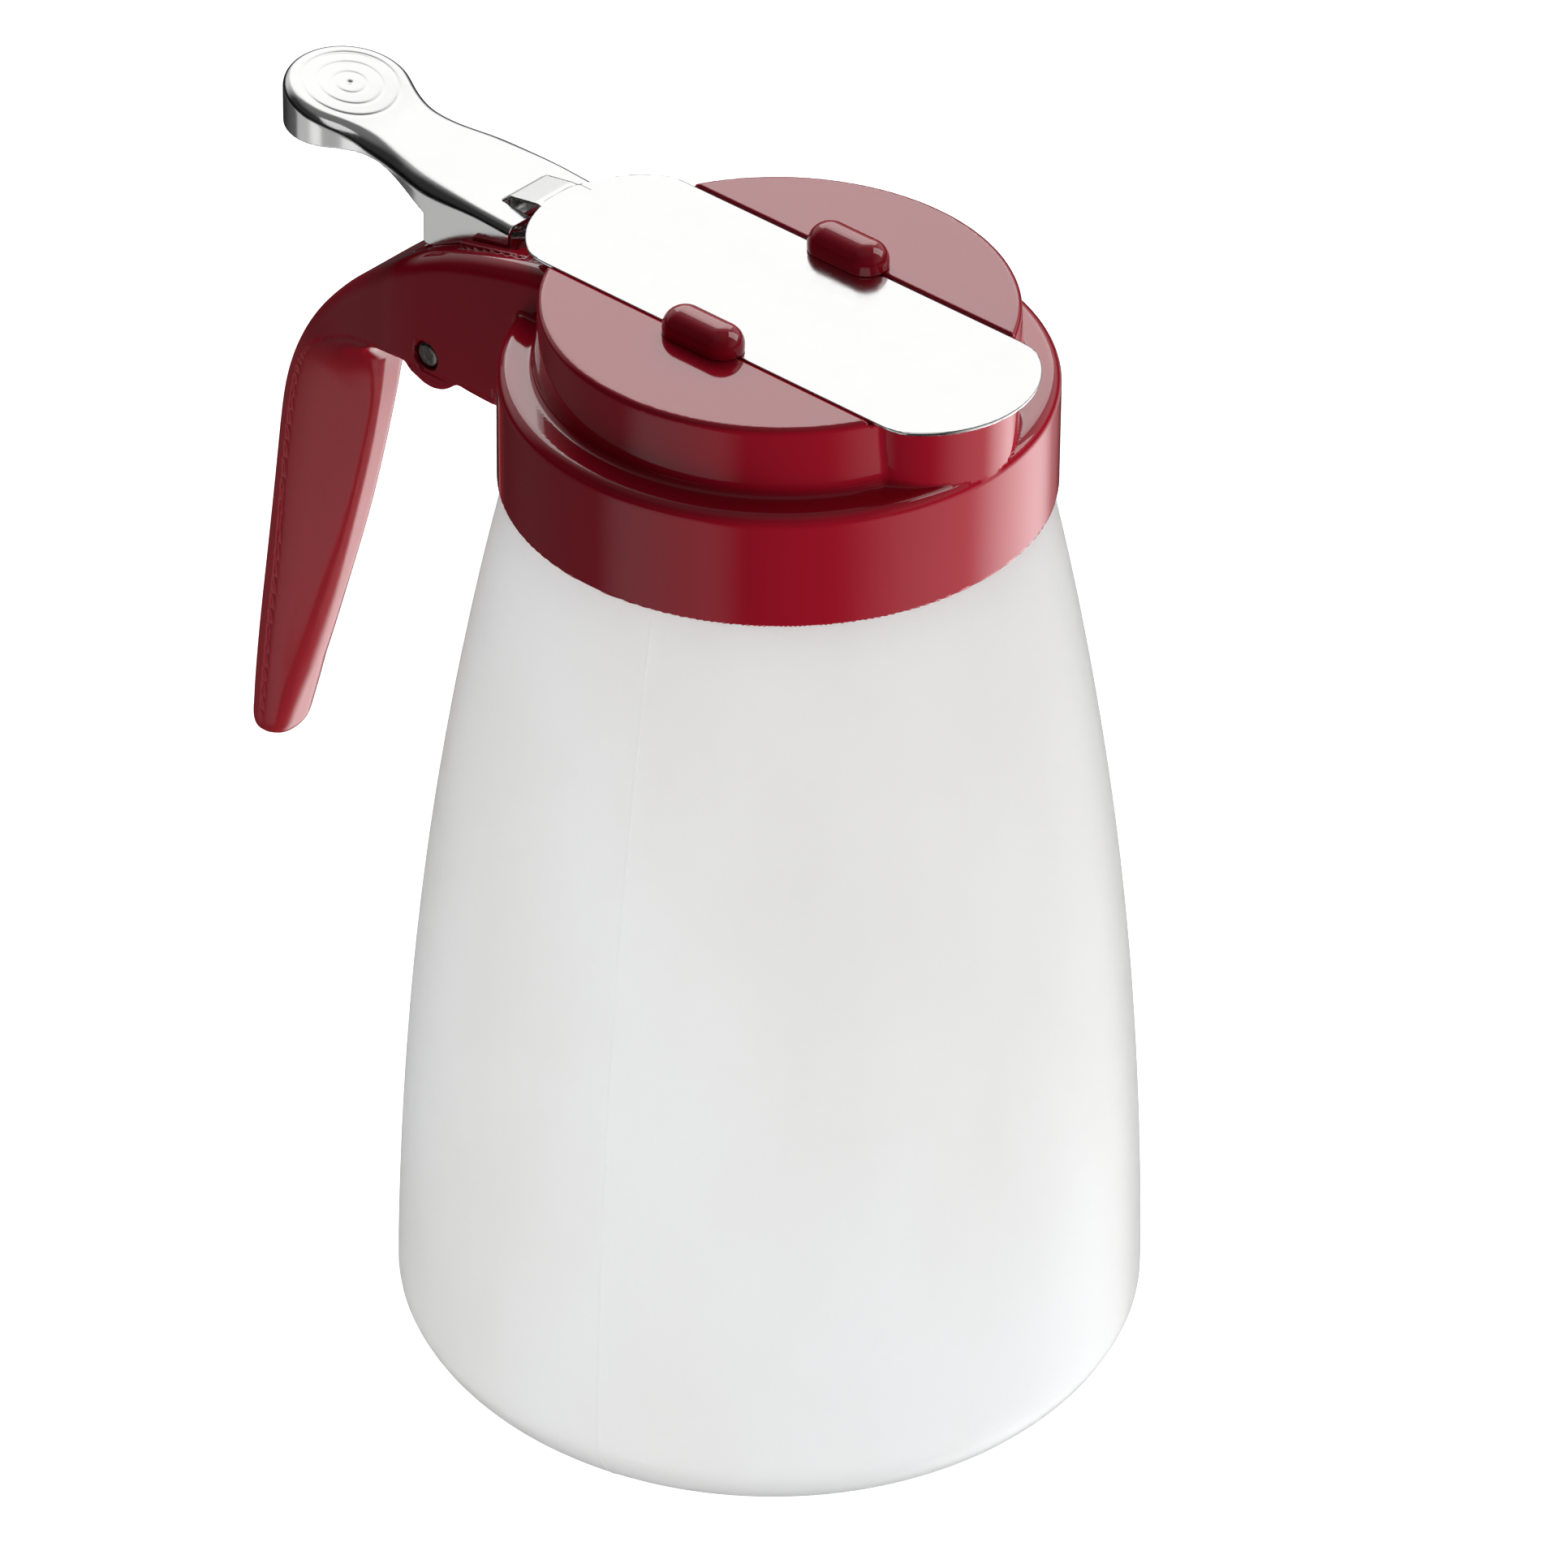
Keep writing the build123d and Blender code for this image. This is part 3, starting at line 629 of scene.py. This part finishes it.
# glossy red plastic: slight colour drift from moulding, faint orange peel and dust specks in the bump, a rougher satin
# finish on the grip, and a paler base colour on the grip that is painted light
red, t, b, out = material("red_gloss_plastic")
v = coords(t)
drift = noise(t, v, 22.0, 3.0)
speck = noise(t, v, 2600.0, 2.0, 0.6)
colour = two_colours(t, spread(t, drift, 0, 1), (0.455, 0.0085, 0.026), (0.51, 0.011, 0.031))
height = add(t, "ShaderNodeSeparateXYZ")
t.links.new(v, height.inputs[0])
satin = spread(t, height.outputs["Z"], 0.0, 0.16, 0.156, 0.15)
# painted light: below 0.15 m height the base colour is raised to a paler red, painting on the extra light and sheen
# the grip catches
grip_painted_light = add(t, "ShaderNodeMix", data_type="RGBA")
t.links.new(spread(t, height.outputs["Z"], 0.0, 1.0, 0.156, 0.15), grip_painted_light.inputs[0])
t.links.new(colour, grip_painted_light.inputs[6])
grip_painted_light.inputs[7].default_value = (0.72, 0.036, 0.055, 1)
t.links.new(grip_painted_light.outputs[2], b.inputs["Base Color"])
shine = add(t, "ShaderNodeMath", operation="ADD")
t.links.new(spread(t, noise(t, v, 160.0, 6.0, 0.65), 0.045, 0.075), shine.inputs[0])
t.links.new(satin, shine.inputs[1])
t.links.new(shine.outputs[0], b.inputs["Roughness"])
peel = bump(t, noise(t, v, 300.0, 2.0), 0.03, 0.00004)
t.links.new(bump(t, speck, 0.03, 0.00001, peel), b.inputs["Normal"])
b.inputs["IOR"].default_value = 1.52

# bright pressed stainless sheet with a fine rolled grain along the lever
steel, t, b, out = material("bright_pressed_steel")
v = coords(t)
grain = noise(t, coords(t, (0.12, 1, 1)), 3200.0, 3.0, 0.6)
cloud = noise(t, v, 90.0, 4.0)
t.links.new(two_colours(t, spread(t, cloud, 0, 1), (0.755, 0.753, 0.75), (0.77, 0.768, 0.765)), b.inputs["Base Color"])
b.inputs["Metallic"].default_value = 1.0
t.links.new(spread(t, noise(t, v, 700.0, 5.0, 0.7), 0.12, 0.2), b.inputs["Roughness"])
t.links.new(bump(t, grain, 0.12, 0.00003, bump(t, cloud, 0.008, 0.0001)), b.inputs["Normal"])

# darker turned steel of the pin, pitted
pin_mat, t, b, out = material("dark_pin_steel")
v = coords(t)
pits = noise(t, v, 1500.0, 4.0, 0.7)
t.links.new(two_colours(t, spread(t, pits, 0, 1), (0.16, 0.13, 0.12), (0.42, 0.39, 0.37)), b.inputs["Base Color"])
b.inputs["Metallic"].default_value = 1.0
t.links.new(spread(t, pits, 0.14, 0.3), b.inputs["Roughness"])
t.links.new(bump(t, pits, 0.25, 0.0001), b.inputs["Normal"])

# drawn spring wire
wire, t, b, out = material("drawn_spring_wire")
v = coords(t)
draw = noise(t, v, 2400.0, 3.0, 0.6)
t.links.new(two_colours(t, spread(t, draw, 0, 1), (0.52, 0.52, 0.53), (0.66, 0.66, 0.67)), b.inputs["Base Color"])
b.inputs["Metallic"].default_value = 1.0
t.links.new(spread(t, draw, 0.16, 0.28), b.inputs["Roughness"])
t.links.new(bump(t, draw, 0.1, 0.00003), b.inputs["Normal"])

# milky translucent jar plastic
milk, t, b, out = material("milky_jar_plastic")
v = coords(t)
flow = noise(t, coords(t, (1, 1, 0.45)), 26.0, 4.0)
t.links.new(two_colours(t, spread(t, flow, 0, 1), (0.80, 0.80, 0.79), (0.86, 0.865, 0.87)), b.inputs["Base Color"])
t.links.new(spread(t, noise(t, v, 240.0, 4.0), 0.2, 0.27), b.inputs["Roughness"])
b.inputs["IOR"].default_value = 1.5
skin = bump(t, noise(t, v, 55.0, 3.0), 0.06, 0.0006)
t.links.new(bump(t, noise(t, v, 1700.0, 2.0), 0.05, 0.00003, skin), b.inputs["Normal"])
glow = add(t, "ShaderNodeBsdfTranslucent")
t.links.new(two_colours(t, spread(t, flow, 0, 1), (0.90, 0.90, 0.89), (0.93, 0.935, 0.94)), glow.inputs["Color"])
mix = add(t, "ShaderNodeMixShader")
mix.inputs[0].default_value = 0.6
t.links.new(b.outputs["BSDF"], mix.inputs[1])
t.links.new(glow.outputs["BSDF"], mix.inputs[2])
t.links.new(mix.outputs["Shader"], out.inputs["Surface"])

# soft pale sealing ring
soft, t, b, out = material("soft_seal_rubber")
v = coords(t)
dust = noise(t, v, 600.0, 5.0, 0.6)
t.links.new(two_colours(t, spread(t, dust, 0, 1), (0.52, 0.52, 0.50), (0.62, 0.62, 0.60)), b.inputs["Base Color"])
t.links.new(spread(t, dust, 0.5, 0.7), b.inputs["Roughness"])
t.links.new(bump(t, dust, 0.15, 0.00008), b.inputs["Normal"])

for ob, mat, body, node, slot in (
    (jar, milk, "jar", "jar", "jar_plastic"), (seal, soft, "seal", "sealing_ring", "seal"),
    (top, red, "top", "screw_top", "red_plastic"), (stud_near, red, "top", "guide_stud_near", "red_plastic"),
    (stud_far, red, "top", "guide_stud_far", "red_plastic"), (pin, pin_mat, "top", "pivot_pin", "pin_steel"),
    (lever, steel, "lever", "thumb_lever", "bright_steel"), (plate, steel, "plate", "slide_plate", "bright_steel"),
    (spring, wire, None, "return_spring", "spring_wire"),
):
    ob.data.materials.append(mat)
    if body:
        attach(ob, body)
    else:
        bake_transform(ob)
    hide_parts(node)

# ------------------------------------------------------------ floor, light, camera
phi, elev, roll = math.radians(41.5), math.radians(33.99), math.radians(0.66)
right = Vector((math.cos(phi), math.sin(phi), 0))
toward = Vector((math.sin(phi), -math.cos(phi), 0))
back = toward * math.cos(elev) + Vector((0, 0, math.sin(elev)))
up = back.cross(right)
r2 = right * math.cos(roll) + up * math.sin(roll)
u2 = up * math.cos(roll) - right * math.sin(roll)
target = right * 0.001518 + Vector((0, 0, 0.108))
cam_data = bpy.data.cameras.new("camera")
cam_data.sensor_width = 36.0
cam_data.lens = 15327 / 1932 * 36.0
cam_data.clip_start = 0.05
cam = bpy.data.objects.new("camera", cam_data)
place = target + back * 2.0
cam.matrix_world = Matrix(((r2.x, u2.x, back.x, place.x), (r2.y, u2.y, back.y, place.y),
                           (r2.z, u2.z, back.z, place.z), (0, 0, 0, 1)))
bpy.context.scene.collection.objects.link(cam)
bpy.context.scene.camera = cam

bm = bmesh.new()
bmesh.ops.create_grid(bm, x_segments=8, y_segments=8, size=5.0)
floor_mesh = bpy.data.meshes.new("floor")
bm.to_mesh(floor_mesh)
bm.free()
floor = bpy.data.objects.new("floor", floor_mesh)
floor.location = (0, 0, -0.0004)
bpy.context.scene.collection.objects.link(floor)
pale, t, b, out = material("pale_floor")
b.inputs["Base Color"].default_value = (0.93, 0.93, 0.93, 1)
b.inputs["Roughness"].default_value = 0.9
b.inputs["Emission Color"].default_value = (1, 1, 1, 1)
b.inputs["Emission Strength"].default_value = 1.0
floor.data.materials.append(pale)
for ray in ("diffuse", "glossy", "transmission", "shadow"):
    setattr(floor, "visible_" + ray, False)


def softbox(name, azimuth, elevation, distance, width, height, radiance, colour=(1, 1, 1)):
    """A rectangular light that faces the object; azimuth is counted from the camera's side, to its right."""
    a, e = math.radians(azimuth), math.radians(elevation)
    d = (toward * math.cos(a) + right * math.sin(a)) * math.cos(e) + Vector((0, 0, math.sin(e)))
    data = bpy.data.lights.new(name, "AREA")
    data.shape = "RECTANGLE"
    data.size, data.size_y = width, height
    data.energy = radiance * math.pi * width * height
    data.color = colour
    ob = bpy.data.objects.new(name, data)
    ob.location = Vector((0, 0, 0.15)) + d * distance
    ob.rotation_euler = (-d).to_track_quat("-Z", "Y").to_euler()
    bpy.context.scene.collection.objects.link(ob)
    return ob


def group(name, *members):
    g = bpy.data.collections.new(name)
    for ob in members:
        g.objects.link(ob)
    return g


steel_only = group("steel_only", lever, plate)
dull_only = group("dull_only", top, stud_near, stud_far, jar, seal, pin, spring, floor)
jar_only = group("jar_only", jar)

panel = softbox("back_panel", 180, 36, 2.6, 2.3, 1.35, 2.5)
panel.light_linking.receiver_collection = dull_only
panel = softbox("back_panel_steel", 176, 41, 2.6, 2.6, 2.2, 0.5)
panel.light_linking.receiver_collection = steel_only
panel = softbox("key_panel", 50, -12, 2.2, 1.5, 1.3, 5.0)
panel.visible_glossy = False
panel = softbox("side_panel", 104, 40, 2.4, 1.3, 1.9, 3.4)
panel.light_linking.receiver_collection = dull_only
panel.visible_diffuse = False
panel = softbox("grip_fill", -58, -36, 0.33, 0.16, 0.16, 1.4)
panel.visible_glossy = False
panel = softbox("front_panel_steel", -4, 34, 2.6, 2.0, 2.2, 0.8)
panel.light_linking.receiver_collection = steel_only
panel = softbox("flange_panel", -83, -34, 0.4, 0.34, 0.34, 0.46)
panel.light_linking.receiver_collection = steel_only

# large weak panels that light the milky jar alone
for n, az, power in (("fill_left", -66, 3.4), ("fill_front", 8, 2.1), ("fill_right", 75, 1.2)):
    fill = softbox(n, az, 16, 2.4, 2.4, 2.4, power)
    fill.light_linking.receiver_collection = jar_only
    fill.visible_glossy = False

world = bpy.data.worlds.new("studio")
world.use_nodes = True
bpy.context.scene.world = world
t = world.node_tree
bg = next(n for n in t.nodes if n.type == "BACKGROUND")
geo = add(t, "ShaderNodeTexCoord")


def along(direction):
    n = add(t, "ShaderNodeVectorMath", operation="DOT_PRODUCT")
    n.inputs[1].default_value = direction
    t.links.new(geo.outputs["Generated"], n.inputs[0])
    return n.outputs["Value"]


def plus(a, b):
    n = add(t, "ShaderNodeMath", operation="ADD")
    t.links.new(a, n.inputs[0])
    t.links.new(b, n.inputs[1])
    return n.outputs[0]


def ramp(value, a, b, lo, hi):
    n = add(t, "ShaderNodeMapRange", interpolation_type="SMOOTHSTEP")
    for k, q in (("From Min", a), ("From Max", b), ("To Min", lo), ("To Max", hi)):
        n.inputs[k].default_value = q
    t.links.new(value, n.inputs["Value"])
    return n.outputs["Result"]


def times(a, b):
    n = add(t, "ShaderNodeMath", operation="MULTIPLY")
    t.links.new(a, n.inputs[0])
    t.links.new(b, n.inputs[1])
    return n.outputs[0]


up_side = ramp(along((0, 0, 1)), -0.05, 0.3, 0.0, 1.0)
down_side = ramp(along((0, 0, 1)), -0.1, -0.45, 0.0, 1.0)
light = times(ramp(along(tuple(-toward)), 0.2, 0.75, 0.0, 0.77), up_side)
light = plus(light, times(ramp(along(tuple(right * 0.95 - toward * 0.1)), 0.2, 0.72, 0.03, 0.85), down_side))
light = plus(light, ramp(along((0.236, 0.62, -0.745)), 0.86, 0.98, 0.0, 2.2))
light = plus(light, times(ramp(along(tuple(right)), 0.45, 0.95, 0.03, 0.4), up_side))
light = plus(light, times(ramp(along(tuple(-right)), 0.45, 0.85, 0.0, 0.08), down_side))
light = plus(light, ramp(along(tuple(toward * 0.58 - right * 0.6 + Vector((0, 0, -0.56)))), 0.88, 0.98, 0.0, 0.42))
light = plus(light, ramp(along((0, 0, 1)), 0.6, 1.0, 0.0, 0.15))
t.links.new(light, bg.inputs["Strength"])
bg.inputs["Color"].default_value = (1, 1, 1, 1)

view = bpy.context.scene.view_settings
view.view_transform = "Standard"
view.look = "None"
view.exposure = 0.0
view.gamma = 1.0
